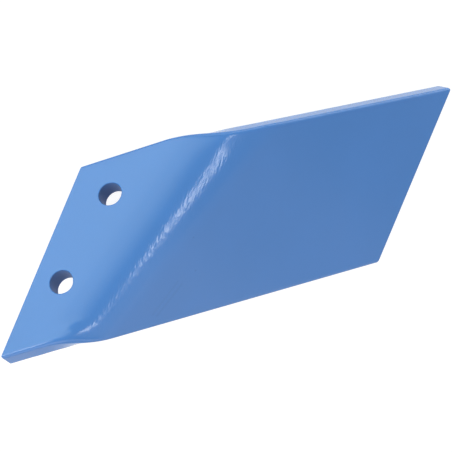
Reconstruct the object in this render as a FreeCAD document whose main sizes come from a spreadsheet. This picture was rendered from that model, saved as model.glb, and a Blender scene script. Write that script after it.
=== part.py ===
import FreeCAD, Part
import math
import os
import Sketcher

# Cultivator wing share: one length of flat bar, cut off askew at both ends and bent once
# across its width on a slanting line. The short leg is the flange, with two bolt holes.
# The long leg is the wing. The bend flares, so its lines meet in an apex beyond the lower
# long edge and its two broad faces are parts of cones.
#
# The body's own frame has the flange's outer face in its XY plane, the lower long edge
# along X and the corner of the flange at the origin. The metal lies below that plane, and
# the wing turns down from it. Lengths are in millimetres and angles in degrees.

SIZES = (
    ("bar_width", 100.0, "flat bar, across"),
    ("bar_thickness", 12.0, "flat bar, through"),
    ("bar_length", 244.0, "along a long edge, from cut to cut, before bending"),
    ("cut_angle", 58.25, "between each cut end and the long edges"),
    ("rolled_edge_radius", 1.9, "long edges, as the bar is rolled"),
    ("cut_edge_radius", 0.5, "edges of the cut ends, softened by grit and paint"),
    ("bend_start", 15.3, "flat length of the lower long edge ahead of the bend"),
    ("bend_line_angle", 45.5, "between the first bend line and the lower long edge"),
    ("bend_angle", 62.0, "turn of the wing against the flange"),
    ("bend_radius", 21.0, "inside the bend, at the lower long edge"),
    ("bend_flare", 5.1, "half angle of the cones, which widens the bend upwards"),
    ("upper_edge_swell", 1.6, "how far the upper edge bulges on the inside of the bend"),
    ("lower_edge_swell", 1.2, "how far the lower edge bulges on the inside of the bend"),
    ("upper_edge_draw", 2.3, "how far the upper edge is drawn in on the outside of the bend"),
    ("lower_edge_draw", 1.0, "how far the lower edge is drawn in on the outside of the bend"),
    ("lower_edge_sway", 0.7, "how much more of that comes early in the bend than late"),
    ("hole_diameter", 13.5, "bolt holes, clearance for 12 mm bolts"),
    ("hole_rim_radius", 0.6, "rims of the bolt holes"),
    ("lower_hole_along", 40.5, "lower hole, from the flange's corner along the edge"),
    ("lower_hole_across", 33.5, "lower hole, from the lower long edge"),
    ("hole_spacing", 56.0, "centre to centre"),
    ("hole_row_angle", 50.8, "between the row of holes and the long edge"),
)
BEND_STEPS = 8          # equal turns between the sections that the bend is lofted through
EARLY = 0.8             # power of the turn that moves a bulge towards the start of the bend
LATE = 1.2              # power of the turn that moves it towards the end
SHARP_EDGE = 20.0       # faces that meet at more than this angle have an edge between them
SKIN_TOLERANCE = 0.05   # for the points among which the resting contacts are found
REST_PASSES = 3         # the contacts move a little each time the share is levelled

doc = FreeCAD.newDocument("wing_share")
sheet = doc.addObject("Spreadsheet::Sheet", "sizes")
for row, (alias, value, meaning) in enumerate(SIZES, start=1):
    sheet.set(f"A{row}", alias)
    sheet.set(f"B{row}", str(value))
    sheet.set(f"C{row}", meaning)
    sheet.setAlias(f"B{row}", alias)
doc.recompute()
size = {alias: float(sheet.get(alias)) for alias, value, meaning in SIZES}

body = doc.addObject("PartDesign::Body", "wing_share")
body.Label = "wing_share"


# Expressions that the sketches share. The apex is where all the bend lines meet, in the
# middle of the bar's thickness.
LINE_ANGLE = "sizes.bend_line_angle * 1deg"
FLARE = "sizes.bend_flare * 1deg"
TURN = "sizes.bend_angle * 1deg"
APEX_REACH = "(sizes.bend_radius + sizes.bar_thickness / 2) / tan(sizes.bend_flare * 1deg)"
APEX = (
    f"vector(sizes.bend_start - {APEX_REACH} * cos({LINE_ANGLE});"
    f" -{APEX_REACH} * sin({LINE_ANGLE}); -sizes.bar_thickness / 2)"
)


def bend_line_angle(share):
    """Angle in the flat bar of the bend line at this share of the turn."""
    return f"({LINE_ANGLE} - {TURN} * sin({FLARE}) * {share})"


def bend_rotation(share):
    """X along the bend line, Y out of the outer face, turned about the cones' axis."""
    return (
        f"rotationz({LINE_ANGLE}) * rotationx(90deg) * rotationz(-{FLARE})"
        f" * rotationx({TURN} * {share}) * rotationz({FLARE})"
    )


def new_sketch(name, offset=None):
    sketch = body.newObject("Sketcher::SketchObject", name)
    base = next(plane for plane in body.Origin.OriginFeatures if plane.Role == "XY_Plane")
    sketch.AttachmentSupport = [(base, "")]
    sketch.MapMode = "FlatFace"
    if offset:
        sketch.setExpression("AttachmentOffset", offset)
    return sketch


def draw_quad(sketch, corners):
    """Four lines from corner to corner, the first and third along X."""
    lines = []
    for start, end in zip(corners, corners[1:] + corners[:1]):
        line = Part.LineSegment(FreeCAD.Vector(*start, 0), FreeCAD.Vector(*end, 0))
        lines.append(sketch.addGeometry(line, False))
    for line, following in zip(lines, lines[1:] + lines[:1]):
        sketch.addConstraint(Sketcher.Constraint("Coincident", line, 2, following, 1))
    for line in (lines[0], lines[2]):
        sketch.addConstraint(Sketcher.Constraint("Horizontal", line))
    return lines


def hold(sketch, expression, *constraint):
    """Adds a constraint whose value follows the expression."""
    index = sketch.addConstraint(Sketcher.Constraint(*constraint))
    sketch.setExpression(f"Constraints[{index}]", expression)


def add_feature(kind, name, **settings):
    feature = body.newObject(kind, name)
    for setting, value in settings.items():
        if isinstance(value, str) and value.startswith("sizes."):
            feature.setExpression(setting, value)
        else:
            setattr(feature, setting, value)
    doc.recompute()
    return feature


width = size["bar_width"]
half_thickness = size["bar_thickness"] / 2
line_angle = math.radians(size["bend_line_angle"])
flare = math.radians(size["bend_flare"])
last_line_angle = line_angle - math.radians(size["bend_angle"]) * math.sin(flare)
apex_reach = (size["bend_radius"] + half_thickness) / math.tan(flare)
apex_depth = apex_reach * math.sin(line_angle)
cut_run = width / math.tan(math.radians(size["cut_angle"]))


# Flange: the flat leg between the first cut and the first bend line.
bend_start = size["bend_start"]
flange_outline = new_sketch("flange_outline")
lower, bend_line, upper, cut = draw_quad(
    flange_outline,
    [(0, 0), (bend_start, 0), (bend_start + width / math.tan(line_angle), width), (cut_run, width)],
)
flange_outline.addConstraint(Sketcher.Constraint("Coincident", lower, 1, -1, 1))
hold(flange_outline, "sizes.bend_start", "DistanceX", lower, 1, lower, 2, bend_start)
hold(flange_outline, "sizes.bar_width", "DistanceY", -1, 1, upper, 1, width)
hold(flange_outline, LINE_ANGLE, "Angle", -1, 1, bend_line, 1, line_angle)
hold(
    flange_outline, "sizes.cut_angle * 1deg",
    "Angle", -1, 1, cut, 2, math.radians(size["cut_angle"]),
)
doc.recompute()
add_feature(
    "PartDesign::Pad", "flange",
    Profile=flange_outline, Length="sizes.bar_thickness", Reversed=True,
)

# Bend: the bar's section on each bend line. The lines lean more and more towards the long
# edges, so the section gets a little longer and slides along its line from step to step,
# which is what keeps the long edges straight when the bar is laid flat again. Bending also
# squeezes the metal on the inside, so the long edges swell there, and stretches it on the
# outside, so they draw in. Both come and go with the turn. As the bend slants, the swelling
# is greatest early in the bend, and the drawing in early at the lower edge and late at the
# upper one.
LOWER_SIDE = f"{APEX_REACH} * sin({LINE_ANGLE})"
UPPER_SIDE = f"({LOWER_SIDE} + sizes.bar_width)"
stations = []
for step in range(BEND_STEPS + 1):
    share = f"{step} / {BEND_STEPS}"
    swelling = math.sin(math.pi * (step / BEND_STEPS) ** EARLY)
    upper_swell = size["upper_edge_swell"] * swelling
    lower_swell = size["lower_edge_swell"] * swelling
    upper_draw = size["upper_edge_draw"] * math.sin(math.pi * (step / BEND_STEPS) ** LATE) ** 2
    lower_draw = size["lower_edge_draw"] * math.sin(math.pi * step / BEND_STEPS) ** 2
    lower_draw += size["lower_edge_sway"] * math.sin(math.tau * step / BEND_STEPS)
    lean = math.sin(line_angle + (last_line_angle - line_angle) * step / BEND_STEPS)
    station = new_sketch(f"bend_station_{step}", f"placement({APEX}; {bend_rotation(share)})")
    inner_near = (apex_depth - lower_swell) / lean
    inner_far = (apex_depth + width + upper_swell) / lean
    outer_near = (apex_depth + lower_draw) / lean
    outer_far = (apex_depth + width - upper_draw) / lean
    inner, far_end, outer, near_end = draw_quad(
        station,
        [
            (inner_near, -half_thickness),
            (inner_far, -half_thickness),
            (outer_far, half_thickness),
            (outer_near, half_thickness),
        ],
    )
    hold(station, "sizes.bar_thickness", "DistanceY", far_end, 1, far_end, 2, 2 * half_thickness)
    hold(station, "sizes.bar_thickness / 2", "DistanceY", inner, 1, -1, 1, half_thickness)
    swollen = f"sin(180deg * ({share}) ^ {EARLY})"
    upper_drawn = f"sizes.upper_edge_draw * sin(180deg * ({share}) ^ {LATE}) ^ 2"
    lower_drawn = (
        f"sizes.lower_edge_draw * sin(180deg * {share}) ^ 2"
        f" + sizes.lower_edge_sway * sin(360deg * {share})"
    )
    slope = f"sin({bend_line_angle(share)})"
    for line, end, reach, side in (
        (inner, 1, inner_near, f"{LOWER_SIDE} - sizes.lower_edge_swell * {swollen}"),
        (inner, 2, inner_far, f"{UPPER_SIDE} + sizes.upper_edge_swell * {swollen}"),
        (outer, 1, outer_far, f"{UPPER_SIDE} - {upper_drawn}"),
        (outer, 2, outer_near, f"{LOWER_SIDE} + {lower_drawn}"),
    ):
        hold(station, f"({side}) / {slope}", "DistanceX", -1, 1, line, end, reach)
    stations.append(station)
doc.recompute()
add_feature(
    "PartDesign::AdditiveLoft", "bend",
    Profile=stations[0], Sections=stations[1:], Ruled=False,
)

# Wing: the rest of the flat bar, drawn where it lies before bending and carried round by
# the whole turn.
wing_start = bend_start - apex_reach * math.cos(line_angle) + apex_depth / math.tan(last_line_angle)
wing_outline = new_sketch(
    "wing_outline",
    f"placement({APEX}; {bend_rotation(1)} * rotationx(-90deg) * rotationz(-{bend_line_angle(1)}))"
    f" * placement(vector(0; 0; 0) - {APEX}; rotationz(0deg))",
)
lower, cut, upper, bend_line = draw_quad(
    wing_outline,
    [
        (wing_start, 0),
        (size["bar_length"], 0),
        (size["bar_length"] + cut_run, width),
        (wing_start + width / math.tan(last_line_angle), width),
    ],
)
wing_outline.addConstraint(Sketcher.Constraint("PointOnObject", lower, 1, -1))
hold(wing_outline, "sizes.bar_length", "DistanceX", -1, 1, lower, 2, size["bar_length"])
hold(wing_outline, "sizes.bar_width", "DistanceY", -1, 1, upper, 1, width)
hold(
    wing_outline,
    f"sizes.bend_start - {APEX_REACH} * cos({LINE_ANGLE})"
    f" + {APEX_REACH} * sin({LINE_ANGLE}) / tan({bend_line_angle(1)})",
    "DistanceX", -1, 1, lower, 1, wing_start,
)
hold(
    wing_outline, "sizes.cut_angle * 1deg",
    "Angle", -1, 1, cut, 1, math.radians(size["cut_angle"]),
)
hold(wing_outline, bend_line_angle(1), "Angle", -1, 1, bend_line, 2, last_line_angle)
doc.recompute()
wing = add_feature(
    "PartDesign::Pad", "wing",
    Profile=wing_outline, Length="sizes.bar_thickness", Reversed=True,
)

# Bolt holes: two plain round holes through the flange, in a row that leans like the bend.
hole_centres = new_sketch("hole_centres")
row_angle = math.radians(size["hole_row_angle"])
lower_hole = FreeCAD.Vector(size["lower_hole_along"], size["lower_hole_across"], 0)
hole_step = FreeCAD.Vector(math.cos(row_angle), math.sin(row_angle), 0) * size["hole_spacing"]
hole_radius = size["hole_diameter"] / 2
rounds = []
for centre in (lower_hole, lower_hole + hole_step):
    circle = Part.Circle(centre, FreeCAD.Vector(0, 0, 1), hole_radius)
    rounds.append(hole_centres.addGeometry(circle, False))
hole_row = hole_centres.addGeometry(Part.LineSegment(lower_hole, lower_hole + hole_step), True)
for end, centre in enumerate(rounds, start=1):
    hole_centres.addConstraint(Sketcher.Constraint("Coincident", hole_row, end, centre, 3))
    hold(hole_centres, "sizes.hole_diameter", "Diameter", centre, 2 * hole_radius)
hold(hole_centres, "sizes.lower_hole_along", "DistanceX", -1, 1, rounds[0], 3, lower_hole.x)
hold(hole_centres, "sizes.lower_hole_across", "DistanceY", -1, 1, rounds[0], 3, lower_hole.y)
hold(hole_centres, "sizes.hole_spacing", "Distance", hole_row, size["hole_spacing"])
hold(hole_centres, "sizes.hole_row_angle * 1deg", "Angle", -1, 1, hole_row, 1, row_angle)
doc.recompute()
bolt_holes = add_feature(
    "PartDesign::Hole", "bolt_holes",
    Profile=hole_centres, Threaded=False, DepthType="ThroughAll", DrillPoint="Flat",
    Diameter="sizes.hole_diameter",
)
bored = wing.Shape.Volume - bolt_holes.Shape.Volume
bore_volume = 2 * math.pi * hole_radius ** 2 * size["bar_thickness"]
if abs(bored - bore_volume) > 0.001 * bore_volume:
    raise ValueError(f"the bolt holes take out {bored:.1f} mm3 and not {bore_volume:.1f}")


def faces_beside(shape, edge):
    return [face for face in shape.Faces if any(edge.isSame(other) for other in face.Edges)]


def meeting_angle(faces, edge):
    """Angle between the outward normals of two faces, halfway along their common edge."""
    middle = edge.valueAt((edge.FirstParameter + edge.LastParameter) / 2)
    normals = [face.normalAt(*face.Surface.parameter(middle)) for face in faces]
    return math.degrees(normals[0].getAngle(normals[1]))


def edge_names(shape, wanted):
    """Names of the sharp edges whose two faces pass the test."""
    names = []
    for number, edge in enumerate(shape.Edges, start=1):
        faces = faces_beside(shape, edge)
        if len(faces) == 2 and meeting_angle(faces, edge) > SHARP_EDGE and wanted(faces):
            names.append(f"Edge{number}")
    return names


def on_cut(faces):
    """A cut face holds the middle of one of the bar's two ends."""
    middles = (
        FreeCAD.Vector(cut_run / 2, width / 2, -half_thickness),
        wing_outline.Placement.multVec(
            FreeCAD.Vector(size["bar_length"] + cut_run / 2, width / 2, -half_thickness)
        ),
    )
    return any(face.isInside(middle, 0.01, True) for face in faces for middle in middles)


def on_bore(faces):
    """Where a hole meets the start of the bend, its rim is part circle and part curve."""
    return any(
        isinstance(face.Surface, Part.Cylinder) and abs(face.Surface.Radius - hole_radius) < 0.01
        for face in faces
    )


# Edges: the bar's rolled corners, then the cut ends and the rims of the holes.
rolled_edges = add_feature(
    "PartDesign::Fillet", "rolled_edges", Radius="sizes.rolled_edge_radius",
    Base=(
        bolt_holes,
        edge_names(bolt_holes.Shape, lambda faces: not on_cut(faces) and not on_bore(faces)),
    ),
)
cut_edges = add_feature(
    "PartDesign::Fillet", "cut_edges", Radius="sizes.cut_edge_radius",
    Base=(rolled_edges, edge_names(rolled_edges.Shape, on_cut)),
)
hole_rims = add_feature(
    "PartDesign::Fillet", "hole_rims", Radius="sizes.hole_rim_radius",
    Base=(cut_edges, edge_names(cut_edges.Shape, on_bore)),
)

# At rest the share lies with its outer side up, on three inner corners: the upper corner
# of the flange's cut and both corners of the wing's. X runs from the middle of the
# flange's cut to the middle of the wing's, level, and the origin is under the middle of
# the whole share.
inner_level = -size["bar_thickness"]
to_wing = wing_outline.Placement.multVec
flange_corner = FreeCAD.Vector(cut_run, width, inner_level)
wing_lower_corner = to_wing(FreeCAD.Vector(size["bar_length"], 0, inner_level))
wing_upper_corner = to_wing(FreeCAD.Vector(size["bar_length"] + cut_run, width, inner_level))
resting_corners = (flange_corner, wing_lower_corner, wing_upper_corner)


def upward(first, second, third):
    normal = (second - first).cross(third - first)
    return normal.normalize()


# The corners are rounded, so the points that touch the ground lie just inside them.
skin = hole_rims.Shape.tessellate(SKIN_TOLERANCE)[0]
up = upward(*resting_corners)
for attempt in range(REST_PASSES):
    contacts = []
    for corner in resting_corners:
        around = [point for point in skin if point.distanceToPoint(corner) < size["bar_thickness"]]
        contacts.append(min(around, key=up.dot))
    up = upward(*contacts)

wing_end_middle = (wing_lower_corner + wing_upper_corner) * 0.5
along = wing_end_middle - FreeCAD.Vector(cut_run / 2, width / 2, inner_level)
sideways = up.cross(along)
lying = FreeCAD.Placement(
    FreeCAD.Vector(), FreeCAD.Rotation(along, sideways, up, "ZXY").inverted()
)
body.Placement = lying
doc.recompute()
box = body.Shape.optimalBoundingBox(False, False)
lying.Base = FreeCAD.Vector(-box.Center.x, -box.Center.y, -box.ZMin)
body.Placement = lying
doc.recompute()

for item in doc.Objects:
    if "Invalid" in item.State or "Error" in item.State:
        raise ValueError(f"{item.Label} has failed: {item.State}")
if body.Shape.isNull() or not body.Shape.isValid() or len(body.Shape.Solids) != 1:
    raise ValueError("the share isn't one valid solid")

os.makedirs("parts", exist_ok=True)
body.Shape.exportStep(f"parts/{body.Label}.step")
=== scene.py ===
import math

import bmesh
import bpy
from mathutils import Euler, Matrix, Vector


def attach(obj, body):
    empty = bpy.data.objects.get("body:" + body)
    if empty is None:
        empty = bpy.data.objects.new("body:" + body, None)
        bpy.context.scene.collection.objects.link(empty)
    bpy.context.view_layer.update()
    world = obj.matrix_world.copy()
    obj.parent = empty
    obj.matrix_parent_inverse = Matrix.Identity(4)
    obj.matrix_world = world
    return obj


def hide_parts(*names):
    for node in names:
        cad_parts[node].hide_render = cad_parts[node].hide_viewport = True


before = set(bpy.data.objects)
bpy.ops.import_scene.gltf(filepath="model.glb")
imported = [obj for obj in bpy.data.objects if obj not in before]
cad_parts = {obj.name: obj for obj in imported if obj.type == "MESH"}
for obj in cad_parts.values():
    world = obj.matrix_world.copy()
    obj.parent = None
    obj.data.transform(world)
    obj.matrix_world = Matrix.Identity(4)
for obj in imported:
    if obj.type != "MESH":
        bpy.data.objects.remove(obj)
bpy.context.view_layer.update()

MM = 0.001                  # the share is made in millimetres and then scaled to the frame

# The flat bar: outer face on the XY plane, lower long edge on the X axis, flange end first.
BAR_WIDTH = 100.0
BAR_THICKNESS = 12.0
BAR_LENGTH = 244.0
CUT_ANGLE = math.radians(58.25)
CUT_RUN = BAR_WIDTH / math.tan(CUT_ANGLE)
ROLLED_EDGE_RADIUS = 1.9
CUT_EDGE_RADIUS = 0.5
ACUTE_CORNER_RADIUS = 1.0   # two sharp corners of the outline, worn off by the grit

# The two bolt holes in the flange.
HOLE_RADIUS = 6.75
HOLE_RIM_RADIUS = 0.6
HOLE_SPACING = 56.0
HOLE_ROW_ANGLE = math.radians(50.8)
LOWER_HOLE = Vector((40.5, 33.5))
UPPER_HOLE = LOWER_HOLE + HOLE_SPACING * Vector(
    (math.cos(HOLE_ROW_ANGLE), math.sin(HOLE_ROW_ANGLE))
)

# The bend. Its lines fan out from an apex, so that its broad faces are parts of cones.
BEND_START = 15.3           # place of the first bend line on the lower long edge
BEND_LINE_ANGLE = math.radians(45.5)
BEND_ANGLE = math.radians(62.0)
BEND_RADIUS = 21.0          # inside the bend, at the lower long edge
BEND_FLARE = math.radians(5.1)
APEX_REACH = (BEND_RADIUS + BAR_THICKNESS / 2) / math.tan(BEND_FLARE)
FIRST_LINE = Vector((math.cos(BEND_LINE_ANGLE), math.sin(BEND_LINE_ANGLE), 0))
ACROSS_LINE = Vector((math.sin(BEND_LINE_ANGLE), -math.cos(BEND_LINE_ANGLE), 0))
APEX = Vector((BEND_START, 0, -BAR_THICKNESS / 2)) - APEX_REACH * FIRST_LINE
BEND_AXIS = math.cos(BEND_FLARE) * FIRST_LINE - math.sin(BEND_FLARE) * Vector((0, 0, 1))
FAN_PER_TURN = math.sin(BEND_FLARE)

# What the bending does to the long edges: they swell inside the bend and draw in outside it.
UPPER_EDGE_SWELL = 1.6
LOWER_EDGE_SWELL = 1.2
UPPER_EDGE_DRAW = 2.3
LOWER_EDGE_DRAW = 1.0
LOWER_EDGE_SWAY = 0.7       # how much more of that draw comes early in the bend than late
EARLY = 0.8                 # powers that bring a peak forward or put it off
LATE = 1.2
# Low humps of squeezed metal near both ends of the bend: height, place up the bar and, in
# degrees, round the bend, and how far the hump spreads in each of these two ways.
HUMPS = (
    (1.85, 3.76, 21.96, 4.93, 13.87),
    (1.03, 100.7, 37.6, 7.7, 10.4),
)

# Where the share lies in the frame. The flange stays in the flat bar's own XY plane.
SHARE_PLACE = Vector((-154.557, -40.8076, 38.7127))
SHARE_TURN = Euler((math.radians(-40.76627), math.radians(-26.27357), math.radians(8.63551)))

# Fineness of the mesh. The cuts across the bar are closest near its rolled edges.
BEND_CUTS = 62
EDGE_SEGMENTS = 6
CUT_EDGE_SEGMENTS = 3
RIM_SEGMENTS = 4
HOLE_SEGMENTS = 72
CORNER_CUTS = 7
CUTS_ACROSS = (
    3, 5, 7, 9, 11, 13, 16, 19, 22, 25, 28, 32, 38, 50, 64, 76, 84, 88, 90, 92, 94, 96, 97.5,
)

# Helps in the making of the mesh, in millimetres.
ROUND_PROFILE = 0.5         # a bevel's shape that is part of a circle
ENDWISE = 0.6               # a face that looks along the bar more than this is a cut end
CUTTER_BEYOND = 2.0         # the hole cutters stand out of the bar, and are a little wider there
CUTTER_OPENING = 0.02
CORNER_ZONE = 6.0           # how far round an acute corner the mesh is worked
WALL_MARGIN = 0.1           # what is this near to a hole's wall counts as wall
WELD_DISTANCE = 0.001
PLANE_DISTANCE = 1e-5
SLIVER_SIZE = 0.004         # edges shorter than this are closed, or the export would open them

# Camera: place in metres, turn in degrees, lens and sensor in millimetres.
CAMERA_PLACE = (-0.224713, 0.135511, 0.704699)
CAMERA_TURN = (-7.45569, -19.26962, -11.51856)
CAMERA_LENS = 100.428
CAMERA_SENSOR = 36.0

# The paint: colours, gloss, and how fine their patches and the skin are, per metre.
PAINT_DARK = (0.0490, 0.208, 0.572, 1)
PAINT_LIGHT = (0.0530, 0.218, 0.600, 1)
PAINT_ROUGHNESS = (0.13, 0.17)
PATCH_SCALE, PATCH_DETAIL = 22, 4
GLOSS_SCALE, GLOSS_DETAIL = 90, 3
SKIN_SCALE, SKIN_DETAIL = 600, 1
SKIN_DEPTH = 0.000015
NOISE_MIDDLE = (0.3, 0.7)   # nearly all of a noise lies between these
# The holes' walls are rough, and their colour is darkened there as painted shade for the shade
# that falls in the holes.
PUNCHED_ROUGHNESS = 0.5     # the holes' walls are rough and thinly painted
HOLE_WALL_PAINTED_SHADE = 0.35
# The steel's grain under the paint, drawn out where the die has dragged on it. Metres.
GRAIN_WAY = Vector((0.500, 0.858, -0.123))
GRAIN_ACROSS = Vector((0.866, -0.490, 0.084))
GRAIN_WIDTH = 0.0010
GRAIN_LENGTH = 0.0032
GRAIN_DEPTH = 0.00008
GRAIN_ON_FLAT = 0.10        # share of the grain's depth away from the bend
DRAG_TURN = 40.0            # degrees round the bend where the die dragged most
DRAG_SPREAD = 7.0
# Faint marks of the die on the wing, and small dark specks, from point to point. Millimetres.
DIE_MARKS = (
    ((-69.4, -37.6, 48.0), (-51.2, -23.7, 46.2)),
    ((-66.8, -39.0, 47.2), (-48.7, -25.7, 45.3)),
)
DIE_MARK_REACH = 1.2
DIE_MARK_DEPTH = 0.03
# The die's marks are shallow grooves in the bump; their darker colour is painted shade in the
# grooves.
DIE_MARK_PAINTED_SHADE = 0.05
SPECKS = (
    ((-37.3, -1.5, 46.6), (-37.2, -1.5, 46.6)),
    ((-39.2, -20.5, 44.0), (-39.1, -20.5, 44.0)),
)
SPECK_RADIUS = 0.9
SPECK_DARKER = 0.12

# The floor: its colour to the light, and to the eye a glow with a shade that shows shadows.
FLOOR_SIZE = 20.0
FLOOR_COLOR = (0.8, 0.8, 0.8, 1)
FLOOR_GLOW = 0.92
FLOOR_SHADE = (0.2, 0.2, 0.2, 1)

# Light levels are radiance, as a lamp's face shows in a mirror.
SURROUND_LEVEL = 0.15
LAMP_DISTANCE = 6.0
WHITE = (1, 1, 1)
COOL = (0.90, 1.05, 0.98)
WARM = (1.0, 0.96, 0.97)
# Soft panels round the share: azimuth, elevation, width and height in degrees, level, tint.
PANELS = {
    "back_low": (127.5, 17, 45, 34, 0.35, COOL),
    "back_middle": (119, 25, 26, 50, 0.4, COOL),
    "back_high": (119, 28.5, 26, 57, 0.5, COOL),
    "back_higher": (119, 32, 26, 64, 0.45, COOL),
    "back_top": (119, 35, 26, 70, 0.4, COOL),
    "back_core": (141, 17, 18, 34, 1.5, COOL),
    "right_back_wall": (76, 14, 58, 28, 0.85, WHITE),
    "right_wall": (22, 17, 48, 34, 1.2, WHITE),
    "right_low": (48, 5, 44, 10, 2.4, WHITE),
    "left_wall": (168, 21, 36, 42, 0.8, WHITE),
    "front_left_wall": (-142, 22, 64, 44, 1.2, WARM),
    "side_panel": (-56, 38, 42, 46, 0.4, WARM),
    "side_core": (-62, 38, 38, 46, 0.5, WARM),
    "front_fill": (-105, 44, 44, 40, 0.8, WARM),
}
# The lamps that show as light lines, along the end of the bend and along the lower edge:
# direction, way along the width, width and height in degrees, level.
ALONG_BEND = (0.62, -0.78, -0.05)
ALONG_EDGE = (0.277, -0.752, 0.597)
STRIPS = {
    "bend_core": ((0.24, 0.13, 0.962), ALONG_BEND, 7, 6.5, 6.4),
    "bend_tail": ((0.256, 0.118, 0.9595), ALONG_BEND, 12, 7.5, 3.4),
    "bend_foot": ((0.145, 0.045, 0.988), ALONG_BEND, 6, 8, 1.6),
    "wing_glow": ((0.35, -0.19, 0.917), ALONG_BEND, 20, 8, 0.85),
    "edge_line": ((-0.724, 0.325, 0.608), ALONG_EDGE, 21, 9.5, 7.0),
}

# Node trees are laid out in rows, in the order of making.
NODE_STEP = 300
NODES_IN_ROW = 8


def as_object(shape, name):
    """Turns a finished bmesh into an object in the scene."""
    mesh = bpy.data.meshes.new(name)
    shape.to_mesh(mesh)
    shape.free()
    made = bpy.data.objects.new(name, mesh)
    bpy.context.scene.collection.objects.link(made)
    return made


def bar_outline_matrix():
    """Turns a unit cube about the origin into the slanting blank, outer face at height 0."""
    slant = Matrix(
        (
            (BAR_LENGTH, CUT_RUN, 0, 0),
            (0, BAR_WIDTH, 0, 0),
            (0, 0, BAR_THICKNESS, 0),
            (0, 0, 0, 1),
        )
    )
    middle = Vector((BAR_LENGTH + CUT_RUN, BAR_WIDTH, -BAR_THICKNESS)) / 2
    return Matrix.Translation(middle) @ slant


def round_edges(shape, edges, radius, segments):
    bmesh.ops.bevel(
        shape, geom=edges, offset=radius, offset_type="OFFSET", affect="EDGES",
        segments=segments, profile=ROUND_PROFILE, material=-1,
    )


def make_flat_bar():
    """The blank with its rolled long edges and softened cut ends, still flat."""
    bar = bmesh.new()
    bmesh.ops.create_cube(bar, size=1.0, matrix=bar_outline_matrix())
    long_edges = [
        edge for edge in bar.edges
        if abs(edge.verts[0].co.x - edge.verts[1].co.x) > BAR_LENGTH / 2
    ]
    round_edges(bar, long_edges, ROLLED_EDGE_RADIUS, EDGE_SEGMENTS)
    bar.normal_update()
    cut_ends = [face for face in bar.faces if abs(face.normal.x) > ENDWISE]
    end_edges = list({edge for face in cut_ends for edge in face.edges})
    round_edges(bar, end_edges, CUT_EDGE_RADIUS, CUT_EDGE_SEGMENTS)
    return bar


def make_hole_cutter(centre):
    """A turned plug the shape of the hole: straight, with a mouth that flares at each rim."""
    outer_half = []
    for step in range(RIM_SEGMENTS + 1):
        angle = math.pi / 2 * step / RIM_SEGMENTS
        radius = HOLE_RADIUS + HOLE_RIM_RADIUS * (1 - math.cos(angle))
        outer_half.append((radius, -HOLE_RIM_RADIUS * (1 - math.sin(angle))))
    outer_half += [(outer_half[-1][0] + CUTTER_OPENING, CUTTER_BEYOND), (0, CUTTER_BEYOND)]
    inner_half = [(radius, -BAR_THICKNESS - height) for radius, height in reversed(outer_half)]
    plug = bmesh.new()
    points = [plug.verts.new((radius, 0, height)) for radius, height in inner_half + outer_half]
    edges = [plug.edges.new(pair) for pair in zip(points, points[1:])]
    bmesh.ops.spin(
        plug, geom=points + edges, axis=(0, 0, 1), cent=(0, 0, 0),
        angle=math.tau, steps=HOLE_SEGMENTS, use_merge=True,
    )
    bmesh.ops.remove_doubles(plug, verts=plug.verts, dist=WELD_DISTANCE)
    bmesh.ops.recalc_face_normals(plug, faces=plug.faces)
    bmesh.ops.translate(plug, verts=plug.verts, vec=centre.to_3d())
    return plug


def bore_holes(bar):
    """Cuts the two bolt holes through the flange end of the flat bar."""
    blank = as_object(bar, "blank")
    cutters = []
    for centre in (LOWER_HOLE, UPPER_HOLE):
        cutter = as_object(make_hole_cutter(centre), "hole_cutter")
        cut = blank.modifiers.new("hole", "BOOLEAN")
        cut.operation = "DIFFERENCE"
        cut.solver = "EXACT"
        cut.object = cutter
        cutters.append(cutter)
    graph = bpy.context.evaluated_depsgraph_get()
    bored_mesh = bpy.data.meshes.new_from_object(blank.evaluated_get(graph))
    bored = bmesh.new()
    bored.from_mesh(bored_mesh)
    for helper in cutters + [blank]:
        bpy.data.objects.remove(helper)
    bpy.data.meshes.remove(bored_mesh)
    return bored


def cut_across(shape, geometry, point, normal):
    """Divides a part of the shape along a plane, and takes nothing away."""
    bmesh.ops.bisect_plane(
        shape, geom=geometry, dist=PLANE_DISTANCE, plane_co=point, plane_no=normal,
    )


def divide_for_bend(shape):
    """Cuts the flat bar along its bend lines, and along its length for its small forms."""
    planes = []
    for step in range(BEND_CUTS + 1):
        angle = BEND_LINE_ANGLE - BEND_ANGLE * FAN_PER_TURN * step / BEND_CUTS
        planes.append((APEX, (math.sin(angle), -math.cos(angle), 0)))
    planes += [((0, across, 0), (0, 1, 0)) for across in CUTS_ACROSS]
    for point, normal in planes:
        cut_across(shape, shape.verts[:] + shape.edges[:] + shape.faces[:], point, normal)


def near_corner(vertex, corner):
    return (vertex.co - corner).xy.length < CORNER_ZONE


def wear_off_corner(shape, corner, along):
    """Rounds an acute corner of the outline. Its long edge runs off along X, or against it."""
    cut_way = Vector((CUT_RUN, BAR_WIDTH, 0)).normalized() * along
    long_way = Vector((along, 0, 0))
    inwards = (cut_way + long_way).normalized()
    centre = corner + inwards * ACUTE_CORNER_RADIUS / math.sin(CUT_ANGLE / 2)
    outwards = math.atan2(-inwards.y, -inwards.x)
    half_arc = math.pi / 2 - CUT_ANGLE / 2
    for step in range(CORNER_CUTS + 1):
        angle = outwards + half_arc * (2 * step / CORNER_CUTS - 1)
        near = [face for face in shape.faces if any(near_corner(v, corner) for v in face.verts)]
        geometry = {part for face in near for part in (*face.verts, *face.edges, face)}
        cut_across(shape, list(geometry), centre, (-math.sin(angle), math.cos(angle), 0))
    for vertex in shape.verts:
        arm = vertex.co.xy - centre.xy
        off_middle = abs(math.remainder(math.atan2(arm.y, arm.x) - outwards, math.tau))
        if near_corner(vertex, corner) and off_middle < half_arc:
            vertex.co.xy = centre.xy + arm * math.cos(half_arc - off_middle)


def bell(value, middle, width):
    return math.exp(-((value - middle) / width) ** 2)


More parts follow.
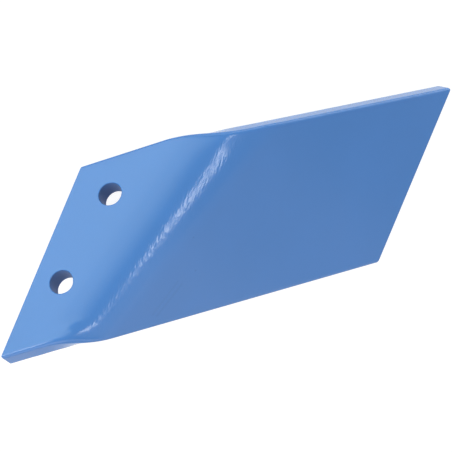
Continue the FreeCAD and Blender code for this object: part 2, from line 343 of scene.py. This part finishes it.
def edge_shift(point, turn):
    """How far squeezed or stretched metal moves up the bend line at this point of the bar."""
    part_way = turn / BEND_ANGLE
    inside = min(max(-point.z / BAR_THICKNESS, 0), 1)
    swell = math.sin(math.pi * part_way ** EARLY) * inside
    lower_draw = LOWER_EDGE_DRAW * math.sin(math.pi * part_way) ** 2
    lower_draw += LOWER_EDGE_SWAY * math.sin(math.tau * part_way)
    upper_draw = UPPER_EDGE_DRAW * math.sin(math.pi * part_way ** LATE) ** 2
    lower = lower_draw * (1 - inside) - LOWER_EDGE_SWELL * swell
    upper = UPPER_EDGE_SWELL * swell - upper_draw * (1 - inside)
    return lower + (upper - lower) * point.y / BAR_WIDTH


def hump_height(point, turn):
    """How far the bend's surface rises here. The humps fade out at both ends of the turn."""
    rise = sum(
        height * bell(point.y, up, up_spread) * bell(math.degrees(turn), turned, turn_spread)
        for height, up, turned, up_spread, turn_spread in HUMPS
    )
    return rise * math.sin(math.pi * turn / BEND_ANGLE)


def place_in_fan(point):
    """The flat point's distance from the apex and angle there, and the turn of its bend line."""
    along = (point - APEX).dot(FIRST_LINE)
    aside = (point - APEX).dot(ACROSS_LINE)
    fan = math.atan2(aside, along)
    turn = min(max(fan / FAN_PER_TURN, 0), BEND_ANGLE)
    return math.hypot(along, aside), fan, turn


def bent(point):
    """Where a point of the flat bar lies once the bar is bent."""
    reach, fan, turn = place_in_fan(point)
    turned_fan = turn * FAN_PER_TURN
    reach += edge_shift(point, turn) / math.sin(BEND_LINE_ANGLE - turned_fan)
    left = fan - turned_fan
    arm = reach * (math.cos(left) * FIRST_LINE + math.sin(left) * ACROSS_LINE)
    arm.z += point.z - APEX.z + hump_height(point, turn)
    return APEX + Matrix.Rotation(turn, 3, BEND_AXIS) @ arm


def mark_steel(shape):
    """Notes on the flat bar where the die will drag, and which parts are walls of the holes."""
    dragged = shape.verts.layers.float.new("dragged")
    punched = shape.verts.layers.float.new("punched")
    for vertex in shape.verts:
        turn = math.degrees(place_in_fan(vertex.co)[2])
        vertex[dragged] = bell(turn, DRAG_TURN, DRAG_SPREAD)
        off = min((vertex.co.xy - hole).length for hole in (LOWER_HOLE, UPPER_HOLE))
        vertex[punched] = 1.0 if off < HOLE_RADIUS + WALL_MARGIN else 0.0


def make_share():
    """The whole share in the frame, one closed skin."""
    shape = bore_holes(make_flat_bar())
    divide_for_bend(shape)
    wear_off_corner(shape, Vector((0, 0, 0)), 1)
    wear_off_corner(shape, Vector((BAR_LENGTH + CUT_RUN, BAR_WIDTH, 0)), -1)
    bmesh.ops.remove_doubles(shape, verts=shape.verts, dist=SLIVER_SIZE)
    bmesh.ops.dissolve_degenerate(shape, edges=shape.edges, dist=SLIVER_SIZE)
    mark_steel(shape)
    for vertex in shape.verts:
        vertex.co = bent(vertex.co)
    place = Matrix.Translation(SHARE_PLACE) @ SHARE_TURN.to_matrix().to_4x4()
    bmesh.ops.transform(shape, verts=shape.verts, matrix=Matrix.Scale(MM, 4) @ place)
    bmesh.ops.recalc_face_normals(shape, faces=shape.faces)
    for face in shape.faces:
        face.smooth = True
    share = as_object(shape, "painted_share")
    level = share.modifiers.new("even_shading", "WEIGHTED_NORMAL")
    level.mode = "FACE_AREA"
    return share


def node(tree, kind, inputs=None, **settings):
    """Adds a node. Each of its inputs is given a value, or the output that feeds it."""
    made = tree.nodes.new(kind)
    row, column = divmod(len(tree.nodes) - 1, NODES_IN_ROW)
    made.location = (NODE_STEP * column, -NODE_STEP * row)
    for name, value in settings.items():
        setattr(made, name, value)
    for name, value in (inputs or {}).items():
        if isinstance(value, bpy.types.NodeSocket):
            tree.links.new(value, made.inputs[name])
        else:
            made.inputs[name].default_value = value
    return made


def maths(tree, operation, first, second):
    return node(tree, "ShaderNodeMath", {0: first, 1: second}, operation=operation).outputs[0]


def vector_maths(tree, operation, first, second):
    """A sum of two vectors, and its result: a number where the sum gives one."""
    made = node(tree, "ShaderNodeVectorMath", {0: first, 1: second}, operation=operation)
    return made.outputs["Value" if operation in ("DOT_PRODUCT", "DISTANCE") else "Vector"]


def noise(tree, vector, scale, detail):
    made = node(tree, "ShaderNodeTexNoise", {"Vector": vector, "Scale": scale, "Detail": detail})
    return made.outputs["Fac"]


def to_range(tree, value, source, target, way="LINEAR"):
    """Takes a value from one range to another, and holds it inside."""
    made = node(
        tree, "ShaderNodeMapRange",
        {
            "Value": value, "From Min": source[0], "From Max": source[1],
            "To Min": target[0], "To Max": target[1],
        },
        interpolation_type=way,
    )
    return made.outputs["Result"]


def attribute(tree, name):
    return node(tree, "ShaderNodeAttribute", attribute_name=name).outputs["Fac"]


def bump(tree, height, depth, below=None, invert=False):
    """The normal of a surface with these heights on it, on top of the bump below."""
    inputs = {"Height": height, "Strength": 1.0, "Distance": depth}
    if below:
        inputs["Normal"] = below
    return node(tree, "ShaderNodeBump", inputs, invert=invert).outputs["Normal"]


def darkened(tree, color, where, darker):
    made = node(
        tree, "ShaderNodeMix",
        {"Factor": where, "A": color, "B": [1 - darker] * 3 + [1]},
        data_type="RGBA", blend_type="MULTIPLY",
    )
    return made.outputs["Result"]


def near_lines(tree, place, lines, reach):
    """1 on lines from point to point, in millimetres, falling to 0 at the reach."""
    nearest = 0
    for start, end in lines:
        start, end = Vector(start) * MM, Vector(end) * MM
        span = end - start
        off = vector_maths(tree, "SUBTRACT", place, start)
        along = vector_maths(tree, "DOT_PRODUCT", off, span / span.length_squared)
        held = node(tree, "ShaderNodeClamp", {"Value": along}).outputs["Result"]
        foot = vector_maths(tree, "MULTIPLY", span, held)
        gap = vector_maths(tree, "DISTANCE", off, foot)
        near = to_range(tree, gap, (0, reach * MM), (1, 0), "SMOOTHSTEP")
        nearest = maths(tree, "MAXIMUM", nearest, near)
    return nearest


def paint_color(tree, place, punched, marks):
    """Two near blues in soft patches, with painted shade on the holes' walls and in the die's
    marks, and darker specks.
    """
    patches = noise(tree, place, PATCH_SCALE, PATCH_DETAIL)
    factor = to_range(tree, patches, NOISE_MIDDLE, (0, 1))
    inputs = {"Factor": factor, "A": PAINT_DARK, "B": PAINT_LIGHT}
    color = node(tree, "ShaderNodeMix", inputs, data_type="RGBA").outputs["Result"]
    # Painted shade on the walls of the holes.
    color = darkened(tree, color, punched, HOLE_WALL_PAINTED_SHADE)
    # Painted shade in the grooves of the die's marks.
    color = darkened(tree, color, marks, DIE_MARK_PAINTED_SHADE)
    specks = near_lines(tree, place, SPECKS, SPECK_RADIUS)
    return darkened(tree, color, specks, SPECK_DARKER)


def paint_roughness(tree, place, punched):
    """A gloss that varies a little, and is lost on the walls of the holes."""
    gloss = noise(tree, place, GLOSS_SCALE, GLOSS_DETAIL)
    gloss = to_range(tree, gloss, NOISE_MIDDLE, PAINT_ROUGHNESS)
    inputs = {"Factor": punched, "A": gloss, "B": PUNCHED_ROUGHNESS}
    return node(tree, "ShaderNodeMix", inputs).outputs["Result"]


def paint_normal(tree, place, marks):
    """The drawn grain, strong only where the die dragged, the die's marks and a fine skin."""
    across = vector_maths(tree, "DOT_PRODUCT", place, GRAIN_ACROSS / GRAIN_WIDTH)
    along = vector_maths(tree, "DOT_PRODUCT", place, GRAIN_WAY / GRAIN_LENGTH)
    grain_place = node(tree, "ShaderNodeCombineXYZ", {"X": across, "Y": along}).outputs[0]
    grain = noise(tree, grain_place, 1, 0)
    strength = to_range(tree, attribute(tree, "dragged"), (0, 1), (GRAIN_ON_FLAT, 1))
    grained = bump(tree, maths(tree, "MULTIPLY", grain, strength), GRAIN_DEPTH)
    marked = bump(tree, marks, DIE_MARK_DEPTH * MM, grained, invert=True)
    return bump(tree, noise(tree, place, SKIN_SCALE, SKIN_DETAIL), SKIN_DEPTH, marked)


def blue_paint():
    """Blue enamel sprayed on rolled steel."""
    material = bpy.data.materials.new("blue_enamel")
    material.use_nodes = True
    tree = material.node_tree
    place = node(tree, "ShaderNodeTexCoord").outputs["Object"]
    punched = attribute(tree, "punched")
    marks = near_lines(tree, place, DIE_MARKS, DIE_MARK_REACH)
    shader = tree.nodes["Principled BSDF"].inputs
    tree.links.new(paint_color(tree, place, punched, marks), shader["Base Color"])
    tree.links.new(paint_roughness(tree, place, punched), shader["Roughness"])
    tree.links.new(paint_normal(tree, place, marks), shader["Normal"])
    return material


def seen_by_eye(tree):
    """1 for rays from the camera or off a gloss or glass, 0 for those that carry light."""
    path = node(tree, "ShaderNodeLightPath").outputs
    seen = maths(tree, "MAXIMUM", path["Is Camera Ray"], path["Is Glossy Ray"])
    return maths(tree, "MAXIMUM", seen, path["Is Transmission Ray"])


def pale_floor():
    """White to the eye, apart from a soft shadow, and a plain pale floor to the light."""
    material = bpy.data.materials.new("pale_floor")
    material.use_nodes = True
    tree = material.node_tree
    tree.nodes.clear()
    plain = node(tree, "ShaderNodeBsdfDiffuse", {"Color": FLOOR_COLOR}).outputs[0]
    glow = node(tree, "ShaderNodeEmission", {"Strength": FLOOR_GLOW}).outputs[0]
    shade = node(tree, "ShaderNodeBsdfDiffuse", {"Color": FLOOR_SHADE}).outputs[0]
    bright = node(tree, "ShaderNodeAddShader", {0: glow, 1: shade}).outputs[0]
    pick = node(tree, "ShaderNodeMixShader", {0: seen_by_eye(tree), 1: plain, 2: bright})
    node(tree, "ShaderNodeOutputMaterial", {"Surface": pick.outputs[0]})
    return material


def make_floor():
    shape = bmesh.new()
    bmesh.ops.create_grid(shape, x_segments=1, y_segments=1, size=FLOOR_SIZE)
    floor = as_object(shape, "floor")
    floor.data.materials.append(pale_floor())


def set_surroundings():
    """White to the eye, and an even soft light for everything else."""
    world = bpy.data.worlds.new("studio")
    bpy.context.scene.world = world
    world.use_nodes = True
    tree = world.node_tree
    tree.nodes.clear()
    white = {"Color": (*WHITE, 1), "Strength": 1.0}
    soft = {"Color": (*WHITE, 1), "Strength": SURROUND_LEVEL}
    white, soft = [node(tree, "ShaderNodeBackground", inputs) for inputs in (white, soft)]
    pick = node(
        tree, "ShaderNodeMixShader",
        {0: seen_by_eye(tree), 1: soft.outputs[0], 2: white.outputs[0]},
    )
    node(tree, "ShaderNodeOutputWorld", {"Surface": pick.outputs[0]})


def add_lamp(name, towards, along, wide, high, level, tint):
    """A flat lamp that looks at the share, as bright as the level where its face shows."""
    lamp = bpy.data.lights.new(name, "AREA")
    lamp.shape = "RECTANGLE"
    lamp.size = 2 * LAMP_DISTANCE * math.tan(math.radians(wide / 2))
    lamp.size_y = 2 * LAMP_DISTANCE * math.tan(math.radians(high / 2))
    lamp.energy = math.pi * level * lamp.size * lamp.size_y
    lamp.color = tint
    along = (along - along.dot(towards) * towards).normalized()
    turn = Matrix((along, towards.cross(along), towards)).transposed().to_4x4()
    holder = bpy.data.objects.new(name, lamp)
    holder.matrix_world = Matrix.Translation(towards * LAMP_DISTANCE) @ turn
    holder.visible_camera = False
    bpy.context.scene.collection.objects.link(holder)


def set_lights():
    """Soft panels round the share, and the strips that show as light lines."""
    upwards = Vector((0, 0, 1))
    for name, (azimuth, elevation, wide, high, level, tint) in PANELS.items():
        turn = Euler((0, -math.radians(elevation), math.radians(azimuth)))
        towards = turn.to_matrix() @ Vector((1, 0, 0))
        add_lamp(name, towards, upwards.cross(towards), wide, high, level, tint)
    for name, (towards, along, wide, high, level) in STRIPS.items():
        add_lamp(name, Vector(towards).normalized(), Vector(along), wide, high, level, WHITE)


def set_camera():
    lens = bpy.data.cameras.new("camera")
    lens.lens = CAMERA_LENS
    lens.sensor_width = CAMERA_SENSOR
    camera = bpy.data.objects.new("camera", lens)
    camera.location = CAMERA_PLACE
    camera.rotation_euler = [math.radians(angle) for angle in CAMERA_TURN]
    bpy.context.scene.collection.objects.link(camera)
    bpy.context.scene.camera = camera


share = make_share()
share.data.materials.append(blue_paint())
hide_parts("wing_share")
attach(share, "root")

make_floor()
set_surroundings()
set_lights()
set_camera()
bpy.context.scene.view_settings.view_transform = "Standard"
